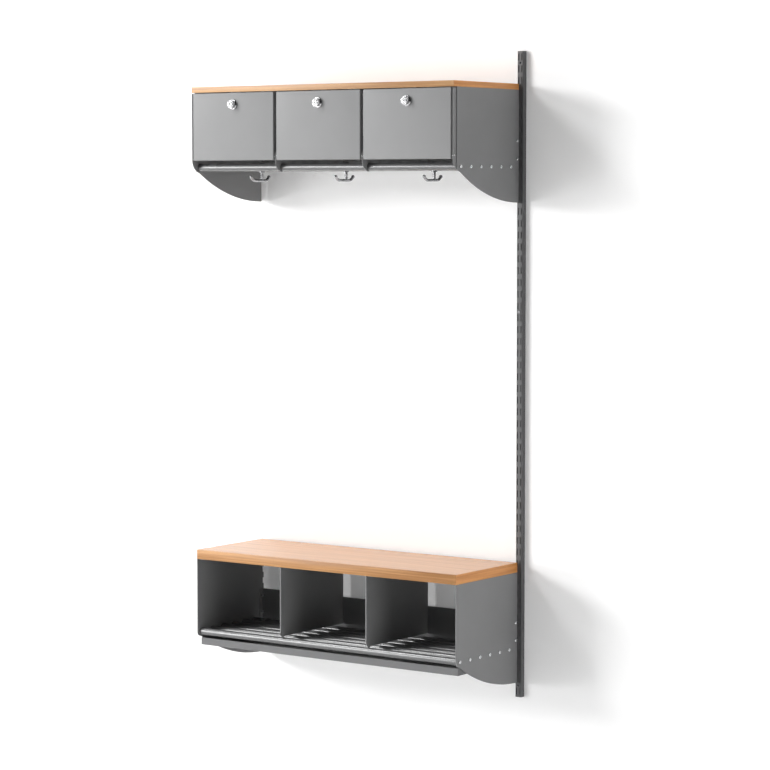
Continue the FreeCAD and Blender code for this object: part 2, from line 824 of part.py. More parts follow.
def lock_housing(hand, bay):
    bore = "(plug_radius + plug_running)"
    body = new_body(f"lock_housing_{hand}")
    profile = sketch_on(body, "Profile", "YZ_Plane")
    outline(profile, [
        (BOSS_FRONT, bore),
        (BOSS_FRONT, "boss_radius - boss_taper"),
        (f"{BOSS_FRONT} + boss_height", "boss_radius"),
        (f"{BOSS_FRONT} + boss_height", "rosette_radius - rosette_bevel"),
        (f"{BOSS_FRONT} + boss_height + rosette_bevel", "rosette_radius"),
        (DOOR_FRONT, "rosette_radius"),
        (DOOR_FRONT, "barrel_radius"),
        (BARREL_END, "barrel_radius"),
        (BARREL_END, bore),
    ])
    turned(body, profile)
    place(body, LOCKER, bay, up="-lock_drop")


def lock_nut(hand, bay):
    hexagon = primitive("Part::Prism", Circumradius="nut_radius", Height="nut_height")
    thread = primitive("Part::Cylinder", Radius="barrel_radius + fit_clearance", Height="nut_height")
    nut = keep(cut(hexagon, thread), f"lock_nut_{hand}")
    nut.Placement.Rotation = FreeCAD.Rotation(FreeCAD.Vector(1, 0, 0), -90)
    place(nut, LOCKER, bay, f"{DOOR_FRONT} + door_sheet", "-lock_drop")


def lock_plug(hand, bay):
    head_back = f"({BOSS_FRONT} - plug_running)"
    head_front = f"({head_back} - plug_head_height)"
    tail_end = f"({CAM_FRONT} + cam_sheet + tail_reach)"
    body = new_body(f"lock_plug_{hand}")
    profile = sketch_on(body, "Profile", "YZ_Plane")
    outline(profile, [
        (head_front, "0"),
        (head_front, "plug_head_radius - plug_head_height / 2"),
        (f"{head_front} + plug_head_height / 2", "plug_head_radius"),
        (head_back, "plug_head_radius"),
        (head_back, "plug_radius"),
        (BARREL_END, "plug_radius"),
        (BARREL_END, "0"),
    ])
    turned(body, profile)
    tail = sketch_on(body, "Tail", "XZ_Plane", f"-{tail_end}")
    rectangle(tail, "-tail_width / 2", "tail_width / 2", "-tail_width / 2", "tail_width / 2")
    pad(body, tail, f"{tail_end} - {BARREL_END} + plug_radius")
    keyway = sketch_on(body, "Keyway", "XZ_Plane", f"-{head_front}")
    rectangle(keyway, "-keyway_width / 2", "keyway_width / 2", "-keyway_height / 2", "keyway_height / 2")
    pocket(body, keyway, "keyway_depth")
    place(body, LOCKER, bay, up="-lock_drop")


def lock_cam(hand, bay):
    """At rest the cam lies level, clear of its strike; a quarter turn brings it up behind the strike."""
    half = "(cam_width / 2)"
    square = "(tail_width / 2 + fit_clearance)"
    body = new_body(f"lock_cam_{hand}")
    plate = sketch_on(body, "Plate", "XZ_Plane", f"-({CAM_FRONT} + cam_sheet)")
    outline(plate, [
        ("0", f"-{half}"),
        (f"cam_length - {half}", f"-{half}", half, TURN_LEFT),
        ("cam_length", "0", half, TURN_LEFT),
        (f"cam_length - {half}", half),
        ("0", half, half, TURN_LEFT),
        (f"-{half}", "0", half, TURN_LEFT),
    ])
    rectangle(plate, f"-{square}", square, f"-{square}", square)
    pad(body, plate, "cam_sheet")
    place(body, LOCKER, bay, up="-lock_drop")


def lock_strike(hand, bay):
    """An angle under the board: its leg hangs between the door and the raised cam."""
    body = new_body(f"lock_strike_{hand}")
    rear = f"({STRIKE_FRONT} + strike_sheet + strike_foot)"
    profile = sketch_on(body, "Profile", "YZ_Plane", "-strike_width / 2")
    outline(profile, [
        (STRIKE_FRONT, "0"),
        (STRIKE_FRONT, "-strike_leg"),
        (f"{STRIKE_FRONT} + strike_sheet", "-strike_leg"),
        (f"{STRIKE_FRONT} + strike_sheet", "-strike_sheet"),
        (rear, "-strike_sheet"),
        (rear, "0"),
    ])
    pad(body, profile, "strike_width")
    holes = sketch_on(body, "Holes", "XY_Plane")
    for side in (LEFT_SIDE, RIGHT_SIDE):
        round_hole(holes, f"{side} * strike_screw_spread / 2", STRIKE_ROW, BOARD_SCREW_HOLE)
    pocket(body, holes)
    place(body, LOCKER, bay)


# Double coat hooks bolted up into one of the locker tubes, one arm to the front and one to the wall

HOOK_TUBE = tube_depth("hook_tube")


def hook_arm(hand, run):
    """The curved end of an arm and its round tip, past a run towards the front (-1) or the wall (1)."""
    sweep = "acos((hook_bend - hook_rise) / hook_bend)"
    reach = f"({run} + sqrt(hook_bend ^ 2 - (hook_bend - hook_rise) ^ 2))"
    bend = primitive("Part::Torus", Radius1="hook_bend", Radius2="hook_arm_radius", Angle3=sweep,
                     Placement_Base_y=f"{hand} * {run}", Placement_Base_z="hook_bend - hook_drop")
    down = FreeCAD.Vector(0, 0, -1)
    outward = FreeCAD.Vector(0, hand, 0)
    bend.Placement.Rotation = FreeCAD.Rotation(down, outward, down.cross(outward), "XYZ")
    tip = primitive("Part::Sphere", Radius="hook_tip_radius",
                    Placement_Base_y=f"{hand} * {reach}", Placement_Base_z="hook_rise - hook_drop")
    return [bend, tip]


def coat_hook(hand, bay):
    flange = primitive("Part::Cylinder", Radius="hook_flange_radius", Height="hook_flange_height",
                       Placement_Base_z="-hook_flange_height")
    stem = primitive("Part::Cylinder", Radius="hook_stem_radius", Height="hook_drop",
                     Placement_Base_z="-hook_drop")
    beam = primitive("Part::Cylinder", Radius="hook_arm_radius", Height="hook_front_run + hook_rear_run",
                     Placement_Base_y="hook_rear_run", Placement_Base_z="-hook_drop")
    beam.Placement.Rotation = FreeCAD.Rotation(FreeCAD.Vector(1, 0, 0), 90)
    thread = primitive("Part::Cylinder", Radius="bolt_radius + fit_clearance", Height="bolt_grip",
                       Placement_Base_z="-bolt_grip")
    arms = hook_arm(LEFT_SIDE, "hook_front_run") + hook_arm(RIGHT_SIDE, "hook_rear_run")
    metal = fused(flange, stem, beam, *arms)
    thing = keep(cut(metal, thread), f"coat_hook_{hand}")
    place(thing, LOCKER, bay, HOOK_TUBE, "-tube_drop - tube_radius")


def hook_bolts():
    """Mushroom-headed bolts, down through the tube into the hooks."""
    bolts = []
    for bay in BAYS.values():
        seat = spot(bay, HOOK_TUBE, "tube_radius - tube_drop")
        foot = spot(bay, HOOK_TUBE, "-tube_drop - tube_radius - bolt_grip")
        head = rod("bolt_head_radius", seat, seat + FreeCAD.Vector(0, 0, value("bolt_head_height")))
        crown = [edge for edge in head.Edges if edge.Closed and edge.CenterOfMass.z > seat.z + 1e-6]
        head = head.makeFillet(value("0.75 * bolt_head_height"), crown)
        bolts.append(head.fuse(rod("bolt_radius", foot, seat)).removeSplitter())
    group("hook_bolts", LOCKER, bolts)


# Drip tray under the bench, sliding forward in two channels fixed to the brackets

def drip_tray():
    body = new_body("drip_tray")
    front = "(tray_setback - bracket_depth)"
    plan = sketch_on(body, "Plan", "XY_Plane", TRAY_LOW)
    rectangle(plan, f"-{TRAY_HALF}", TRAY_HALF, front, "-tray_rear_gap")
    pad(body, plan, "tray_height")
    basin = sketch_on(body, "Basin", "XY_Plane", TRAY_HIGH)
    rectangle(basin, f"tray_sheet - {TRAY_HALF}", f"{TRAY_HALF} - tray_sheet",
              f"{front} + tray_sheet", "-tray_rear_gap - tray_sheet")
    pocket(body, basin, "tray_height - tray_sheet")
    place(body, BENCH)


def tray_runner(label, side):
    web = f"{side} * {INNER}"
    web_face = f"{side} * ({INNER} - runner_sheet)"
    lip = f"{side} * ({INNER} - runner_lip)"
    ceiling = f"({TRAY_HIGH} + runner_clearance)"
    floor = f"({TRAY_LOW} - runner_clearance)"
    body = new_body(label)
    channel = sketch_on(body, "Channel", "XZ_Plane", "runner_rear_gap")
    outline(channel, [
        (web, f"{floor} - runner_sheet"),
        (web, f"{ceiling} + runner_sheet"),
        (lip, f"{ceiling} + runner_sheet"),
        (lip, ceiling),
        (web_face, ceiling),
        (web_face, floor),
        (lip, floor),
        (lip, f"{floor} - runner_sheet"),
    ])
    pad(body, channel, "bracket_depth - runner_setback - runner_rear_gap")
    place(body, BENCH)


# Assembly

wall_upright()
wall_screw()

bracket("locker_bracket_left", LOCKER, LEFT_SIDE)
bracket("locker_bracket_right", LOCKER, RIGHT_SIDE)
bracket_screws("locker", LOCKER)
tubes("locker", LOCKER, CHEEK_FACE)
back_panel("locker", LOCKER)
board("locker", LOCKER, "(bracket_depth + locker_board_overhang)", "locker_board_thickness",
      LOCKER_BOARD_SPOTS)
board_screws("locker", LOCKER, LOCKER_BOARD_SPOTS)
locker_cheek("locker_cheek_left", LEFT_SIDE)
locker_cheek("locker_cheek_right", RIGHT_SIDE)
locker_partition("locker_partition_left", LEFT_SIDE)
locker_partition("locker_partition_right", RIGHT_SIDE)
door_pivot_pins()
door_stop_studs()
for hand, bay in BAYS.items():
    locker_door(hand, bay)
    lock_housing(hand, bay)
    lock_nut(hand, bay)
    lock_plug(hand, bay)
    lock_cam(hand, bay)
    lock_strike(hand, bay)
    coat_hook(hand, bay)
hook_bolts()

bracket("bench_bracket_left", BENCH, LEFT_SIDE)
bracket("bench_bracket_right", BENCH, RIGHT_SIDE)
bracket_screws("bench", BENCH)
tubes("bench", BENCH, INNER)
back_panel("bench", BENCH)
board("bench", BENCH, "bracket_depth", "bench_board_thickness", BENCH_BOARD_SPOTS)
board_screws("bench", BENCH, BENCH_BOARD_SPOTS)
bench_divider("bench_divider_left", LEFT_SIDE)
bench_divider("bench_divider_right", RIGHT_SIDE)
drip_tray()
tray_runner("tray_runner_left", LEFT_SIDE)
tray_runner("tray_runner_right", RIGHT_SIDE)

doc.recompute()

for thing in doc.Objects:
    if "Invalid" in thing.State or "Error" in thing.State:
        raise RuntimeError(f"{thing.Label} did not compute: {thing.State}")
for thing in sub_parts:
    if thing.Shape.isNull() or not thing.Shape.isValid() or thing.Shape.Volume <= 0:
        raise RuntimeError(f"{thing.Label} has no valid solid")

os.makedirs("parts", exist_ok=True)
for thing in sub_parts:
    thing.Shape.exportStep(os.path.join("parts", f"{thing.Label}.step"))
    print(thing.Label, len(thing.Shape.Solids), round(thing.Shape.Volume))
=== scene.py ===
import math

import bmesh
import bpy
from mathutils import Matrix, Vector


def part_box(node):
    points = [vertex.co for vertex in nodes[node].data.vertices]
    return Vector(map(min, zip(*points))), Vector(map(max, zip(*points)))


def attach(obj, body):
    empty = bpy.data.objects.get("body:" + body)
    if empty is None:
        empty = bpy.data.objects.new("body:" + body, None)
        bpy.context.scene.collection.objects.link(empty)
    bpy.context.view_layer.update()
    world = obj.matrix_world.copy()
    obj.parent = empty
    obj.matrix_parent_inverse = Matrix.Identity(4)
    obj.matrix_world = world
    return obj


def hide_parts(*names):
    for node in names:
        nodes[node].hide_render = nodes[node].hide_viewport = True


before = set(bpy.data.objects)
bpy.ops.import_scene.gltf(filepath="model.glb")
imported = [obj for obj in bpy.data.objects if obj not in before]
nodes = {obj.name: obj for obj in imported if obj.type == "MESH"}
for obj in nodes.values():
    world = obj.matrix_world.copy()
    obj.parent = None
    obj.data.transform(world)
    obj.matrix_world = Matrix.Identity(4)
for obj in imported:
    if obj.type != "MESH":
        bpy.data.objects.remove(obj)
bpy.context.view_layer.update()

# Slotted upright
# A steel box section with two columns of slots for the brackets' catches, screwed flat to the wall.
# It is powder coated: a satin grey, a shade darker than on the units, with a fine orange peel.

UPRIGHT_DARK = (0.105, 0.106, 0.108, 1)
UPRIGHT_LIGHT = (0.127, 0.128, 0.130, 1)
COAT_GLOSS = (0.36, 0.46)
COAT_SHEEN = 0.18
COAT_PEEL_HEIGHT = 0.00012
COAT_PEEL = 0.12
COAT_PEEL_SCALE = 900
PEEL_DETAIL = 2
COAT_SPECK_SCALE = 2600
SPECK_DETAIL = 1
COAT_CLOUD_SCALE = 7
CLOUD_DETAIL = 3
CLOUD_SHARE = 0.6
SPECK_RANGE = (0.35, 0.65)
NOISE_RANGE = (0.3, 0.7)


def new_group(name, inputs, outputs):
    """An empty shader node group with named values, and the nodes that give and collect them."""
    group = bpy.data.node_groups.new(name, "ShaderNodeTree")
    for given in inputs:
        group.interface.new_socket(given, in_out="INPUT", socket_type="NodeSocketFloat")
    for output in outputs:
        group.interface.new_socket(output, in_out="OUTPUT", socket_type="NodeSocketFloat")
    return group, group.nodes.new("NodeGroupInput"), group.nodes.new("NodeGroupOutput")


def object_place(tree, stretch=(1, 1, 1)):
    """Object coordinates, stretched along each axis."""
    place = tree.nodes.new("ShaderNodeTexCoord").outputs["Object"]
    mapping = tree.nodes.new("ShaderNodeMapping")
    mapping.inputs["Scale"].default_value = stretch
    tree.links.new(place, mapping.inputs["Vector"])
    return mapping.outputs["Vector"]


def noise_on(tree, vector, scale, detail):
    """Noise at a place; its scale is a number or comes from another node."""
    node = tree.nodes.new("ShaderNodeTexNoise")
    node.inputs["Detail"].default_value = detail
    if isinstance(scale, (int, float)):
        node.inputs["Scale"].default_value = scale
    else:
        tree.links.new(scale, node.inputs["Scale"])
    tree.links.new(vector, node.inputs["Vector"])
    return node.outputs["Fac"]


def spread(tree, value, low, high, new_low=0.0, new_high=1.0):
    """The value with the range low to high stretched over a new range."""
    node = tree.nodes.new("ShaderNodeMapRange")
    node.inputs["From Min"].default_value = low
    node.inputs["From Max"].default_value = high
    node.inputs["To Min"].default_value = new_low
    node.inputs["To Max"].default_value = new_high
    tree.links.new(value, node.inputs["Value"])
    return node.outputs["Result"]


def combined(tree, operation, first, second):
    """Two numbers or values that vary, put through a mathematical operation."""
    node = tree.nodes.new("ShaderNodeMath")
    node.operation = operation
    for socket, term in zip(node.inputs, (first, second)):
        if isinstance(term, (int, float)):
            socket.default_value = term
        else:
            tree.links.new(term, socket)
    return node.outputs["Value"]


def tinted(tree, amount, dark, light):
    """A colour between dark and light, which may themselves be colours that vary."""
    node = tree.nodes.new("ShaderNodeMix")
    node.data_type = "RGBA"
    ends = [socket for socket in node.inputs if socket.type == "RGBA"]
    for socket, colour in zip(ends, (dark, light)):
        if isinstance(colour, tuple):
            socket.default_value = colour
        else:
            tree.links.new(colour, socket)
    tree.links.new(amount, node.inputs["Factor"])
    return next(socket for socket in node.outputs if socket.type == "RGBA")


def bumped(tree, height, strength, distance):
    """A normal that follows a height over the surface."""
    node = tree.nodes.new("ShaderNodeBump")
    node.inputs["Strength"].default_value = strength
    node.inputs["Distance"].default_value = distance
    tree.links.new(height, node.inputs["Height"])
    return node.outputs["Normal"]


def new_material(name):
    """A material with its node tree and its Principled BSDF."""
    material = bpy.data.materials.new(name)
    material.use_nodes = True
    return material, material.node_tree, material.node_tree.nodes["Principled BSDF"]


def placed_group(tree, group, **values):
    """A group in a material, with the material's own values on its inputs."""
    node = tree.nodes.new("ShaderNodeGroup")
    node.node_tree = group
    for name, value in values.items():
        node.inputs[name].default_value = value
    return node


def powder_grain():
    """Cloudy tone, fine specks and orange peel of a sprayed and baked coat."""
    group, given, result = new_group("powder_grain", ["PeelScale"], ["Tone", "Gloss", "Peel"])
    place = object_place(group)
    cloud = noise_on(group, place, COAT_CLOUD_SCALE, CLOUD_DETAIL)
    speck = noise_on(group, place, COAT_SPECK_SCALE, SPECK_DETAIL)
    peel = noise_on(group, place, given.outputs["PeelScale"], PEEL_DETAIL)
    clouds = spread(group, cloud, *NOISE_RANGE, 0, CLOUD_SHARE)
    specks = spread(group, speck, *SPECK_RANGE, 0, 1 - CLOUD_SHARE)
    group.links.new(combined(group, "ADD", clouds, specks), result.inputs["Tone"])
    group.links.new(spread(group, cloud, *NOISE_RANGE), result.inputs["Gloss"])
    group.links.new(peel, result.inputs["Peel"])
    return group


POWDER_GRAIN = powder_grain()


def powder_coat(name, dark, light, gloss, sheen, peel):
    """A powder coat between two greys, with its own range of gloss."""
    material, tree, surface = new_material(name)
    surface.inputs["Specular IOR Level"].default_value = sheen
    grain = placed_group(tree, POWDER_GRAIN, PeelScale=COAT_PEEL_SCALE)
    tree.links.new(tinted(tree, grain.outputs["Tone"], dark, light), surface.inputs["Base Color"])
    tree.links.new(spread(tree, grain.outputs["Gloss"], 0, 1, *gloss), surface.inputs["Roughness"])
    skin = bumped(tree, grain.outputs["Peel"], peel, COAT_PEEL_HEIGHT)
    tree.links.new(skin, surface.inputs["Normal"])
    return material


def finish_node(name, material):
    """Gives a CAD piece its finish."""
    nodes[name].data.materials.clear()
    nodes[name].data.materials.append(material)


COAT_SKIN = (COAT_GLOSS, COAT_SHEEN, COAT_PEEL)
UPRIGHT_COAT = powder_coat("upright_powder_coat", UPRIGHT_DARK, UPRIGHT_LIGHT, *COAT_SKIN)
finish_node("wall_upright", UPRIGHT_COAT)

# Brackets, back panels and plates
# Sheet steel blanks, cut and folded, that hook into the upright and carry the boards and tubes.
# All are powder coated in the mid grey of the units.

COAT_DARK = (0.218, 0.219, 0.221, 1)
COAT_LIGHT = (0.242, 0.243, 0.245, 1)
UNITS = ("locker", "bench")
SIDES = ("left", "right")

GREY_COAT = powder_coat("unit_powder_coat", COAT_DARK, COAT_LIGHT, *COAT_SKIN)
for unit in UNITS:
    finish_node(f"{unit}_back_panel", GREY_COAT)
    for side in SIDES:
        finish_node(f"{unit}_bracket_{side}", GREY_COAT)
for side in SIDES:
    finish_node(f"locker_cheek_{side}", GREY_COAT)
    finish_node(f"locker_partition_{side}", GREY_COAT)
    finish_node(f"bench_divider_{side}", GREY_COAT)

# Tubes
# Round steel tubes, six to a shelf, screwed between the brackets.
# Their coat is darker than the brackets', and flows out smoother and glossier on a drawn tube.

TUBE_DARK = (0.115, 0.116, 0.118, 1)
TUBE_LIGHT = (0.135, 0.136, 0.138, 1)
TUBE_GLOSS = (0.22, 0.28)
TUBE_SHEEN = 0.75
TUBE_PEEL = 0.03
TUBE_COUNT = 6

TUBE_COAT = powder_coat("tube_powder_coat", TUBE_DARK, TUBE_LIGHT, TUBE_GLOSS, TUBE_SHEEN, TUBE_PEEL)
for unit in UNITS:
    for number in range(1, TUBE_COUNT + 1):
        finish_node(f"{unit}_tube_{number}", TUBE_COAT)

# Drip tray and its runners
# A shallow tray folded from sheet steel, which slides under the bench in two folded channels.
# The channels have the units' coat; the tray has it darkened, a painted shade for the shade it sits in under
# the tubes of the bench.

# The tray's two greys are the units' coat darkened as painted shade.
TRAY_SHADED_DARK = (0.158, 0.159, 0.161, 1)
TRAY_SHADED_LIGHT = (0.176, 0.177, 0.179, 1)

TRAY_SHADED_COAT = powder_coat("tray_powder_coat_painted_shade", TRAY_SHADED_DARK, TRAY_SHADED_LIGHT, *COAT_SKIN)
finish_node("drip_tray", TRAY_SHADED_COAT)
for side in SIDES:
    finish_node(f"tray_runner_{side}", GREY_COAT)

# Boards
# Chipboard with beech laminate above, a grey backing sheet below, and beech band on its four sides.
# The arrises are broken, the grain runs lengthwise, and the satin lacquer shines at a low angle.
# Screws hold it from below, through the folds of the brackets and plates.

BOARD_ARRIS = 0.0006
ARRIS_STEPS = 3
SHARP_ANGLE = 57
BOARD_SMOOTH_ANGLE = 40
FACING = 0.9
END_SLOT = 1
FACE_SLOT = 2
BACKING_SLOT = 3
BAND_THICKNESS = 0.0010
FACE_BEECH = ((0.580, 0.270, 0.098, 1), (0.690, 0.336, 0.124, 1))
FACE_GLOSS = (0.14, 0.22)
FACE_SHEEN = 0.22
FACE_PORES = 0.04
# The locker board's band is paler and less saturated than the bench's: a painted sheen, standing for the
# reflection of the lamps on its front edge.
LOCKER_BAND_PAINTED_SHEEN = ((0.335, 0.168, 0.070, 1), (0.608, 0.362, 0.172, 1))
BENCH_BAND = ((0.322, 0.145, 0.051, 1), (0.585, 0.312, 0.126, 1))
BAND_GLOSS = (0.30, 0.40)
BAND_SHEEN = 0.25
BAND_PORES = 0.20
END_BEECH = ((0.540, 0.222, 0.070, 1), (0.800, 0.380, 0.135, 1))
BEECH_FLECK = (0.370, 0.160, 0.050, 1)
FLECK_DEPTH = 0.55
LINE_SHARE = 0.65
LINE_RANGE = (0.38, 0.62)
FLECK_RANGE = (0.62, 0.74)

# Streaks per metre along the grain, across it, and the detail of their noise
GRAIN_BANDS = (1.1, 48, 2)
GRAIN_LINES = (3, 150, 4)
GRAIN_FLECKS = (90, 1500, 1)

PORE_HEIGHT = 0.00006
BACKING_DARK = (0.200, 0.200, 0.202, 1)
BACKING_LIGHT = (0.225, 0.225, 0.227, 1)


def pick(piece, kind, passes):
    """In edit mode, selects the faces or edges of a piece that pass a test, and nothing else."""
    bpy.ops.mesh.select_mode(type=kind)
    bpy.ops.mesh.select_all(action="DESELECT")
    mesh = bmesh.from_edit_mesh(piece.data)
    for part in mesh.faces if kind == "FACE" else mesh.edges:
        part.select_set(passes(part))
    bmesh.update_edit_mesh(piece.data)


def block(name, low, high):
    """A box between two corners, active and in edit mode."""
    bpy.ops.object.select_all(action="DESELECT")
    bpy.ops.mesh.primitive_cube_add(size=1, location=(low + high) / 2)
    piece = bpy.context.object
    piece.name = name
    piece.scale = high - low
    bpy.ops.object.transform_apply(location=True, rotation=True, scale=True)
    bpy.ops.object.mode_set(mode="EDIT")
    return piece


def beech_grain(name, along):
    """Grain along X or Y: tone from broad bands and fine lines, the lines alone, and short dark flecks."""
    group, given, result = new_group(name, ["FleckDepth"], ["Tone", "Lines", "Flecks"])

    def streaks(lengthwise, across, detail):
        """Noise drawn out along the grain."""
        stretch = (lengthwise, across, across) if along == "X" else (across, lengthwise, across)
        return noise_on(group, object_place(group, stretch), 1, detail)

    bands = spread(group, streaks(*GRAIN_BANDS), *NOISE_RANGE)
    lines = spread(group, streaks(*GRAIN_LINES), *LINE_RANGE)
    flecks = spread(group, streaks(*GRAIN_FLECKS), *FLECK_RANGE)
    broad = combined(group, "MULTIPLY", bands, 1 - LINE_SHARE)
    fine = combined(group, "MULTIPLY", lines, LINE_SHARE)
    group.links.new(combined(group, "ADD", broad, fine), result.inputs["Tone"])
    group.links.new(lines, result.inputs["Lines"])
    deep_flecks = combined(group, "MULTIPLY", flecks, given.outputs["FleckDepth"])
    group.links.new(deep_flecks, result.inputs["Flecks"])
    return group


GRAIN_LENGTHWISE = beech_grain("beech_grain_lengthwise", "X")
GRAIN_CROSSWISE = beech_grain("beech_grain_crosswise", "Y")


def beech(name, grain_group, tones, gloss, sheen, pores):
    """Lacquered beech between two tones, with its grain in colour, gloss and pores."""
    material, tree, surface = new_material(name)
    surface.inputs["Specular IOR Level"].default_value = sheen
    grain = placed_group(tree, grain_group, FleckDepth=FLECK_DEPTH)
    wood = tinted(tree, grain.outputs["Tone"], *tones)
    wood = tinted(tree, grain.outputs["Flecks"], wood, BEECH_FLECK)
    tree.links.new(wood, surface.inputs["Base Color"])
    tree.links.new(spread(tree, grain.outputs["Lines"], 0, 1, *gloss), surface.inputs["Roughness"])
    tree.links.new(bumped(tree, grain.outputs["Lines"], pores, PORE_HEIGHT), surface.inputs["Normal"])
    return material


BAND_SKIN = (BAND_GLOSS, BAND_SHEEN, BAND_PORES)
BEECH_FACE = beech("beech_laminate", GRAIN_LENGTHWISE, FACE_BEECH, FACE_GLOSS, FACE_SHEEN, FACE_PORES)
BEECH_BANDS = {
    "locker": beech("beech_band_locker_painted_sheen", GRAIN_LENGTHWISE, LOCKER_BAND_PAINTED_SHEEN, *BAND_SKIN),
    "bench": beech("beech_band_bench", GRAIN_LENGTHWISE, BENCH_BAND, *BAND_SKIN),
}
BEECH_END_BAND = beech("beech_band_crosswise", GRAIN_CROSSWISE, END_BEECH, *BAND_SKIN)
BACKING = powder_coat("backing_sheet", BACKING_DARK, BACKING_LIGHT, *COAT_SKIN)


def board(unit):
    """A board: banded sides, laminate on top, backing sheet below."""
    low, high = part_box(f"{unit}_board")
    piece = block(f"{unit}_board_panel", low, high)
    for finish in (BEECH_BANDS[unit], BEECH_END_BAND, BEECH_FACE, BACKING):
        piece.data.materials.append(finish)
    piece.active_material_index = END_SLOT
    pick(piece, "FACE", lambda face: abs(face.normal.x) > FACING)
    bpy.ops.object.material_slot_assign()
    piece.active_material_index = FACE_SLOT
    pick(piece, "FACE", lambda face: abs(face.normal.z) > FACING)
    bpy.ops.mesh.inset(thickness=BAND_THICKNESS, use_individual=True)
    bpy.ops.object.material_slot_assign()
    piece.active_material_index = BACKING_SLOT
    pick(piece, "FACE", lambda face: face.normal.z < -FACING and face.material_index == FACE_SLOT)
    bpy.ops.object.material_slot_assign()
    pick(piece, "EDGE", lambda edge: edge.calc_face_angle(0) > math.radians(SHARP_ANGLE))
    bpy.ops.mesh.bevel(offset=BOARD_ARRIS, segments=ARRIS_STEPS, affect="EDGES")
    bpy.ops.object.mode_set(mode="OBJECT")
    bpy.ops.object.shade_smooth_by_angle(angle=math.radians(BOARD_SMOOTH_ANGLE))
    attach(piece, "frame")
    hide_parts(f"{unit}_board")


for unit in UNITS:
    board(unit)

# Locker doors
# Shallow pans folded from steel sheet, with rounded front edges, hung on pins near their lower edge.
# Each has a hole for its lock and one in each side for its pins, and the units' grey coat.

DOOR_SHEET = 0.0015
DOOR_CORNER = 0.0022
DOOR_BEND = 0.0018
BEND_STEPS = 4
DOOR_SMOOTH_ANGLE = 30
LOCK_HOLE_RADIUS = 0.00952
PIN_HOLE_RADIUS = 0.00205
PIN_SETBACK = 0.008
PIN_RISE = 0.0097
LOCK_DRILL_LENGTH = 0.1
PIN_DRILL_LENGTH = 0.4
DRILL_SIDES = 48
ALONG_X = (0, math.radians(90), 0)
ALONG_Y = (math.radians(90), 0, 0)
HANDS = ("left", "centre", "right")


def drilled(piece, place, turn, radius, length):
    """Cuts a round hole through a piece."""
    bpy.ops.object.select_all(action="DESELECT")
    bpy.ops.mesh.primitive_cylinder_add(vertices=DRILL_SIDES, radius=radius, depth=length, location=place,
                                        rotation=turn)
    drill = bpy.context.object
    bpy.context.view_layer.objects.active = piece
    hole = piece.modifiers.new("hole", "BOOLEAN")
    hole.operation = "DIFFERENCE"
    hole.solver = "EXACT"
    hole.object = drill
    bpy.ops.object.modifier_apply(modifier=hole.name)
    bpy.data.objects.remove(drill)


def door_pan():
    """The centre door: a pan open at the back, its edges rounded, with holes for its lock and pins."""
    low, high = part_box("locker_door_centre")
    lock_low, lock_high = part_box("lock_housing_centre")
    piece = block("door_pan_centre", low, high)
    pick(piece, "FACE", lambda face: face.normal.y > FACING)
    bpy.ops.mesh.delete(type="ONLY_FACE")
    pick(piece, "EDGE", lambda edge: abs(edge.verts[0].co.y - edge.verts[1].co.y) > DOOR_SHEET)
    bpy.ops.mesh.bevel(offset=DOOR_CORNER, segments=BEND_STEPS, affect="EDGES")
    pick(piece, "EDGE", lambda edge: max(end.co.y for end in edge.verts) < low.y + DOOR_SHEET)
    bpy.ops.mesh.bevel(offset=DOOR_BEND, segments=BEND_STEPS, affect="EDGES")
    bpy.ops.object.mode_set(mode="OBJECT")
    sheet = piece.modifiers.new("sheet", "SOLIDIFY")
    sheet.thickness = DOOR_SHEET
    sheet.offset = -1
    sheet.use_even_offset = True
    bpy.ops.object.modifier_apply(modifier=sheet.name)
    lock_middle = (lock_low + lock_high) / 2
    drilled(piece, lock_middle, ALONG_Y, LOCK_HOLE_RADIUS, LOCK_DRILL_LENGTH)
    pin_place = (lock_middle.x, low.y + PIN_SETBACK, low.z + PIN_RISE)
    drilled(piece, pin_place, ALONG_X, PIN_HOLE_RADIUS, PIN_DRILL_LENGTH)
    piece.select_set(True)
    bpy.ops.object.shade_smooth_by_angle(angle=math.radians(DOOR_SMOOTH_ANGLE))
    piece.data.materials.append(GREY_COAT)
    return piece


centre_door = door_pan()
for hand in HANDS:
    door = centre_door
    if hand != "centre":
        door = centre_door.copy()
        door.data = centre_door.data.copy()
        door.name = f"door_pan_{hand}"
        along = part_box(f"locker_door_{hand}")[0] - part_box("locker_door_centre")[0]
        door.data.transform(Matrix.Translation(along))
        bpy.context.scene.collection.objects.link(door)
    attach(door, f"door_{hand}")
    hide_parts(f"locker_door_{hand}")

# Cam locks
# Turned and chromed brass: a rosette and boss on the door, and a plug with a keyway that turns in it.
# A nut behind the door holds the housing; the walls of the keyway are painted dark, a painted shade for the
# depth of the slot.

CHROME_DARK = (0.64, 0.64, 0.65, 1)
CHROME_LIGHT = (0.74, 0.74, 0.75, 1)
CHROME_HAZE = (0.07, 0.15)
HAZE_SCALE = 140
HAZE_DETAIL = 3
# Painted shade: the walls inside the keyway get this near black, for the shade deep in the slot.
KEYWAY_PAINTED_SHADE = (0.03, 0.03, 0.032, 1)
KEYWAY_LIP = 0.0002
KEYWAY_REACH = 0.0065


def plating_haze():
    """Faint cloudiness of a plated surface."""
    group, given, result = new_group("plating_haze", ["Scale"], ["Haze"])
    haze = noise_on(group, object_place(group), given.outputs["Scale"], HAZE_DETAIL)
    group.links.new(spread(group, haze, *NOISE_RANGE), result.inputs["Haze"])
    return group


PLATING_HAZE = plating_haze()


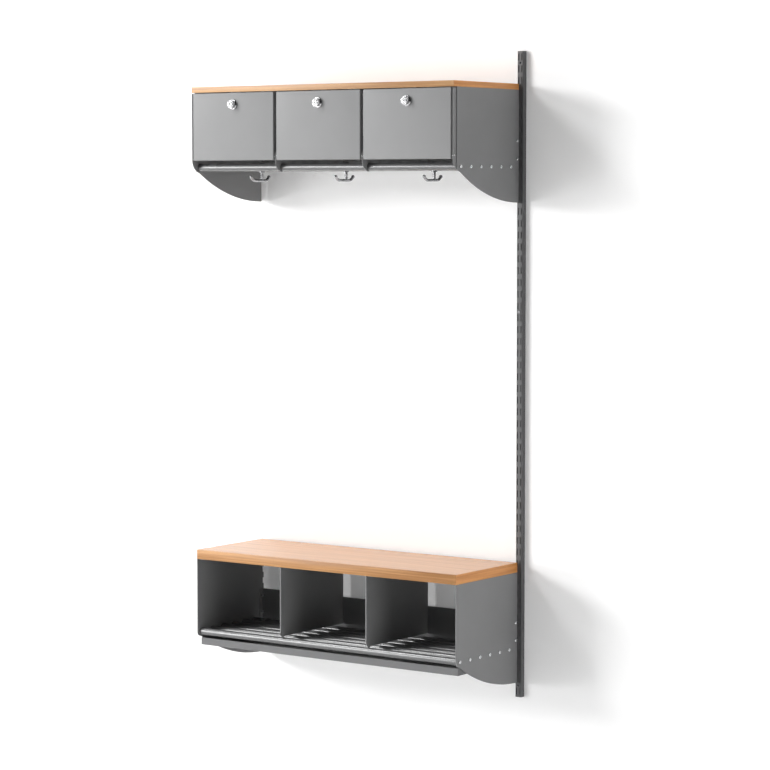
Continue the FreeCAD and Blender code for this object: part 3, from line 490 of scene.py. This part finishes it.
def plated(name, dark, light, haze_range, keyway_mouth=None):
    """A bright plated finish with faint haze; behind keyway_mouth, if it is given, painted shade darkens the
    walls.
    """
    material, tree, surface = new_material(name)
    haze = placed_group(tree, PLATING_HAZE, Scale=HAZE_SCALE).outputs["Haze"]
    tree.links.new(spread(tree, haze, 0, 1, *haze_range), surface.inputs["Roughness"])
    surface.inputs["Metallic"].default_value = 1
    shine = tinted(tree, haze, dark, light)
    if keyway_mouth is not None:
        place = object_place(tree)
        away = tree.nodes.new("ShaderNodeVectorMath")
        away.operation = "DISTANCE"
        away.inputs[1].default_value = keyway_mouth
        tree.links.new(place, away.inputs[0])
        parts = tree.nodes.new("ShaderNodeSeparateXYZ")
        tree.links.new(place, parts.inputs["Vector"])
        near = combined(tree, "LESS_THAN", away.outputs["Value"], KEYWAY_REACH)
        inside = combined(tree, "GREATER_THAN", parts.outputs["Y"], keyway_mouth.y + KEYWAY_LIP)
        shine = tinted(tree, combined(tree, "MULTIPLY", near, inside), shine, KEYWAY_PAINTED_SHADE)
    tree.links.new(shine, surface.inputs["Base Color"])
    return material


CHROME = plated("polished_chrome", CHROME_DARK, CHROME_LIGHT, CHROME_HAZE)
for hand in HANDS:
    finish_node(f"lock_housing_{hand}", CHROME)
    low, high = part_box(f"lock_plug_{hand}")
    mouth = Vector(((low.x + high.x) / 2, low.y, (low.z + high.z) / 2))
    plug_chrome_keyway_shade = plated(f"plug_chrome_keyway_shade_{hand}", CHROME_DARK, CHROME_LIGHT, CHROME_HAZE, mouth)
    finish_node(f"lock_plug_{hand}", plug_chrome_keyway_shade)

# Coat hooks
# Double hooks of cast zinc, each bolted up into a tube: a long arm forward, a short one to the wall.
# They are plated, and duller than the locks.

HOOK_DARK = (0.30, 0.30, 0.31, 1)
HOOK_LIGHT = (0.42, 0.42, 0.43, 1)
HOOK_HAZE = (0.20, 0.32)

HOOK_PLATE = plated("hook_plate", HOOK_DARK, HOOK_LIGHT, HOOK_HAZE)
for hand in HANDS:
    finish_node(f"coat_hook_{hand}", HOOK_PLATE)

# Screws, bolts and lock fittings
# Turned screws, pins and nuts, and pressed cams and strikes, of zinc-plated steel.
# The units' own screws, pins and studs are bright; the wall screw, hook bolts and lock fittings are dull.

ZINC_DARK = (0.76, 0.77, 0.79, 1)
ZINC_LIGHT = (0.90, 0.91, 0.92, 1)
ZINC_SHINE = (0.14, 0.22)
ZINC_METAL = 0.75
DULL_DARK = (0.17, 0.17, 0.175, 1)
DULL_LIGHT = (0.26, 0.26, 0.27, 1)
DULL_SHINE = (0.45, 0.60)
DULL_METAL = 1
BLOOM_SCALE = 260


def zinc(name, dark, light, shine, metal):
    """Zinc plating with a mottled bloom."""
    material, tree, surface = new_material(name)
    bloom = placed_group(tree, PLATING_HAZE, Scale=BLOOM_SCALE).outputs["Haze"]
    tree.links.new(tinted(tree, bloom, dark, light), surface.inputs["Base Color"])
    tree.links.new(spread(tree, bloom, 0, 1, *shine), surface.inputs["Roughness"])
    surface.inputs["Metallic"].default_value = metal
    return material


BRIGHT_ZINC = zinc("bright_zinc", ZINC_DARK, ZINC_LIGHT, ZINC_SHINE, ZINC_METAL)
DULL_ZINC = zinc("dull_zinc", DULL_DARK, DULL_LIGHT, DULL_SHINE, DULL_METAL)
for unit in UNITS:
    finish_node(f"{unit}_bracket_screws", BRIGHT_ZINC)
    finish_node(f"{unit}_board_screws", BRIGHT_ZINC)
finish_node("door_pivot_pins", BRIGHT_ZINC)
finish_node("door_stop_studs", BRIGHT_ZINC)
finish_node("wall_screw", DULL_ZINC)
finish_node("hook_bolts", DULL_ZINC)
for hand in HANDS:
    for fitting in ("lock_nut", "lock_cam", "lock_strike"):
        finish_node(f"{fitting}_{hand}", DULL_ZINC)

# Wall and floor
# A plain white wall behind the upright and a pale floor well below it.
# Both are flat faces in a dull white paint, which carry the shadows of the section.

WALL_GAP = 0.0005
FLOOR_DROP = 0.45
ROOM_WIDTH = 12
ROOM_HEIGHT = 6
ROOM_DEPTH = 9
WALL_WHITE = (0.90, 0.90, 0.90, 1)
WALL_LIFT = (0.09, 0.26)
WALL_LIFT_FROM = -0.9
WALL_LIFT_TO = 1.2
FLAT = (0, 0, 0)


def room_white():
    """White paint, lifted where it is seen or mirrored, most at the right, and clear from behind."""
    material, tree, surface = new_material("room_white")
    surface.inputs["Base Color"].default_value = WALL_WHITE
    surface.inputs["Roughness"].default_value = 1
    surface.inputs["Specular IOR Level"].default_value = 0
    along = tree.nodes.new("ShaderNodeSeparateXYZ")
    tree.links.new(object_place(tree), along.inputs["Vector"])
    lift = spread(tree, along.outputs["X"], WALL_LIFT_FROM, WALL_LIFT_TO, *WALL_LIFT)
    path = tree.nodes.new("ShaderNodeLightPath")
    reflected = combined(tree, "MAXIMUM", path.outputs["Is Glossy Ray"], path.outputs["Is Transmission Ray"])
    seen = combined(tree, "MAXIMUM", path.outputs["Is Camera Ray"], reflected)
    glow = tree.nodes.new("ShaderNodeEmission")
    tree.links.new(combined(tree, "MULTIPLY", seen, lift), glow.inputs["Strength"])
    lifted = tree.nodes.new("ShaderNodeAddShader")
    tree.links.new(surface.outputs["BSDF"], lifted.inputs[0])
    tree.links.new(glow.outputs["Emission"], lifted.inputs[1])
    clear = tree.nodes.new("ShaderNodeBsdfTransparent")
    sides = tree.nodes.new("ShaderNodeMixShader")
    tree.links.new(tree.nodes.new("ShaderNodeNewGeometry").outputs["Backfacing"], sides.inputs["Fac"])
    tree.links.new(lifted.outputs["Shader"], sides.inputs[1])
    tree.links.new(clear.outputs["BSDF"], sides.inputs[2])
    tree.links.new(sides.outputs["Shader"], tree.nodes["Material Output"].inputs["Surface"])
    return material


ROOM_WHITE = room_white()


def room_face(name, middle, turn, width, height, material):
    """A flat rectangle of the surroundings."""
    bpy.ops.object.select_all(action="DESELECT")
    bpy.ops.mesh.primitive_plane_add(size=1, location=middle, rotation=turn)
    face = bpy.context.object
    face.name = name
    face.scale = (width, height, 1)
    bpy.ops.object.transform_apply(location=True, rotation=True, scale=True)
    face.data.materials.append(material)
    return face


wall_middle = (0, WALL_GAP, ROOM_HEIGHT / 2 - FLOOR_DROP)
floor_middle = (0, WALL_GAP - ROOM_DEPTH / 2, -FLOOR_DROP)
room_face("wall", wall_middle, ALONG_Y, ROOM_WIDTH, ROOM_HEIGHT, ROOM_WHITE)
room_face("floor", floor_middle, FLAT, ROOM_WIDTH, ROOM_DEPTH, ROOM_WHITE)

# Light flags
# Narrow grey cards, hidden from the camera, that keep stray light out of the slits between
# the left brackets and the wall.

FLAG_GREY = (0.2, 0.2, 0.2, 1)
FLAG_WIDTH = 0.032
FLAG_OUT = 0.013
FLAG_RISE = 0.004
FLAG_HEIGHT = 0.13

FLAG_CARD, _, flag_surface = new_material("flag_card")
flag_surface.inputs["Base Color"].default_value = FLAG_GREY
flag_rows = {
    "locker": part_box("locker_bracket_left")[0].z + FLAG_RISE + FLAG_HEIGHT / 2,
    "bench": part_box("bench_bracket_left")[1].z - FLAG_HEIGHT / 2,
}
for unit, row in flag_rows.items():
    flag_middle = (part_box(f"{unit}_bracket_left")[0].x - FLAG_OUT, -FLAG_WIDTH / 2, row)
    flag = room_face(f"{unit}_flag", flag_middle, ALONG_X, FLAG_HEIGHT, FLAG_WIDTH, FLAG_CARD)
    flag.visible_camera = False

# Light
# A wide soft box to the front left, a weaker one below it, one high above, a faint one far to the right.
# The room is dim and darker to the right; polished things see it bright on the left,
# and the camera sees it white.

ROOM_LEFT = 0.17
ROOM_RIGHT = 0.03
ROOM_SPAN = (-1, 1)
ROOM_COLOUR = (1, 1, 1, 1)
MIRRORED_LEFT = 1.0
MIRRORED_RIGHT = 0.03
MIRRORED_SPAN = (-0.9, 0.1)
KEY_PLACE = (-7.0, -6.1, 3.06)
KEY_AIM = (-0.45, 0, 1.2)
KEY_SIZE = (4.6, 1.55)
KEY_POWER = 540
LOW_PLACE = (-6.6, -6.5, 0.56)
LOW_AIM = (-0.45, 0, 0.95)
LOW_SIZE = (4.6, 1.35)
LOW_POWER = 260
TOP_PLACE = (-3.2, -2.1, 4.0)
TOP_AIM = (-0.45, -0.2, 0.9)
TOP_SIZE = (1.15, 1.15)
TOP_POWER = 95
SIDE_PLACE = (3.6, -1.0, 0.6)
SIDE_AIM = (0, -0.2, 0.6)
SIDE_SIZE = (1.5, 1.5)
SIDE_POWER = 32

world = bpy.data.worlds.new("room_light")
world.use_nodes = True
bpy.context.scene.world = world
air = world.node_tree
direction = air.nodes.new("ShaderNodeSeparateXYZ")
air.links.new(air.nodes.new("ShaderNodeTexCoord").outputs["Generated"], direction.inputs["Vector"])
lit = spread(air, direction.outputs["X"], *ROOM_SPAN, ROOM_LEFT, ROOM_RIGHT)
mirrored = spread(air, direction.outputs["X"], *MIRRORED_SPAN, MIRRORED_LEFT, MIRRORED_RIGHT)
ray = air.nodes.new("ShaderNodeLightPath")
choice = air.nodes.new("ShaderNodeMix")
air.links.new(ray.outputs["Is Glossy Ray"], choice.inputs["Factor"])
air.links.new(lit, choice.inputs["A"])
air.links.new(mirrored, choice.inputs["B"])
looked_at = combined(air, "MAXIMUM", ray.outputs["Is Camera Ray"], ray.outputs["Is Transmission Ray"])
strength = combined(air, "MAXIMUM", choice.outputs["Result"], looked_at)
air.links.new(strength, air.nodes["Background"].inputs["Strength"])
air.nodes["Background"].inputs["Color"].default_value = ROOM_COLOUR


def soft_box(name, place, aim, size, power):
    """A rectangular area lamp turned towards a point."""
    lamp = bpy.data.lights.new(name, "AREA")
    lamp.shape = "RECTANGLE"
    lamp.size, lamp.size_y = size
    lamp.energy = power
    holder = bpy.data.objects.new(name, lamp)
    holder.location = place
    holder.rotation_euler = (Vector(aim) - Vector(place)).to_track_quat("-Z", "Y").to_euler()
    bpy.context.scene.collection.objects.link(holder)


soft_box("key_light", KEY_PLACE, KEY_AIM, KEY_SIZE, KEY_POWER)
soft_box("low_light", LOW_PLACE, LOW_AIM, LOW_SIZE, LOW_POWER)
soft_box("top_light", TOP_PLACE, TOP_AIM, TOP_SIZE, TOP_POWER)
soft_box("side_light", SIDE_PLACE, SIDE_AIM, SIDE_SIZE, SIDE_POWER)

# Camera
# A little above the middle of the section, looking in from the right and slightly down.
# The lens is long, so the section shows little perspective.

IMAGE_SIDE = 770
FOCAL_PIXELS = 2748.1
SENSOR = 36
VIEW_PLACE = (4.0400, -6.2858, 1.3938)
VIEW_HEADING = 35.599
VIEW_DOWN = 4.118
LEVEL = 90

lens = bpy.data.cameras.new("view")
lens.sensor_width = SENSOR
lens.lens = FOCAL_PIXELS / IMAGE_SIDE * SENSOR
camera = bpy.data.objects.new("view", lens)
camera.location = VIEW_PLACE
camera.rotation_euler = (math.radians(LEVEL - VIEW_DOWN), 0, math.radians(VIEW_HEADING))
bpy.context.scene.collection.objects.link(camera)
bpy.context.scene.camera = camera
bpy.context.scene.view_settings.view_transform = "Standard"
